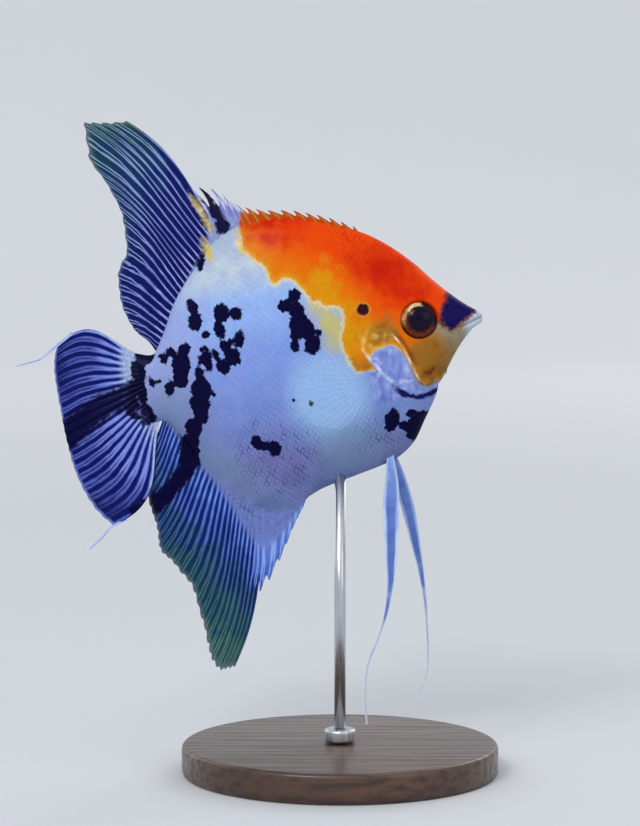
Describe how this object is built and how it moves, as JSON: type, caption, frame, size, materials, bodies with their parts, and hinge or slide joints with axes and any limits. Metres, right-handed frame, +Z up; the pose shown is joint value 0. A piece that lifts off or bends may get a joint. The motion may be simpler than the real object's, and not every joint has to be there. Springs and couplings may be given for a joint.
{
  "type": "freshwater angelfish model",
  "caption": "Life-size still model of a koi freshwater angelfish with orange cap, black blotches and striped fins, pitched head-up on a round base with a single rod.",
  "frame": {"origin": "middle of the underside of the stand's base", "axes": "+X towards the fish's head, +Y towards its left side, +Z up"},
  "size_m": [0.1269, 0.084, 0.1723],
  "materials": {
    "skin": "moist scaled skin: pearly blue-white flank, orange-red cap and nape, gold cheek, black blotches",
    "eye": "clear wet cornea over a red-brown iris and a black pupil",
    "fin": "pale lavender rays with deep blue skin between them",
    "clear_fin": "nearly clear skin on fine pale rays",
    "stand_wood": "dark stained and waxed",
    "stand_steel": "drawn rod with a satin grain"
  },
  "bodies": {
    "root": {"head": "skin", "lower_jaw": "skin", "gill_cover_left": "skin", "gill_cover_right": "skin", "trunk": "skin", "tail_stem": "skin", "eye_left": "eye", "eye_right": "eye", "dorsal_fin": "fin", "anal_fin": "fin", "caudal_fin": "fin", "pectoral_fin_left": "clear_fin", "pectoral_fin_right": "clear_fin", "pelvic_fin_left": "fin", "pelvic_fin_right": "fin", "stand_base": "stand_wood", "stand_collar": "stand_steel", "stand_rod": "stand_steel"}
  },
  "joints": []
}
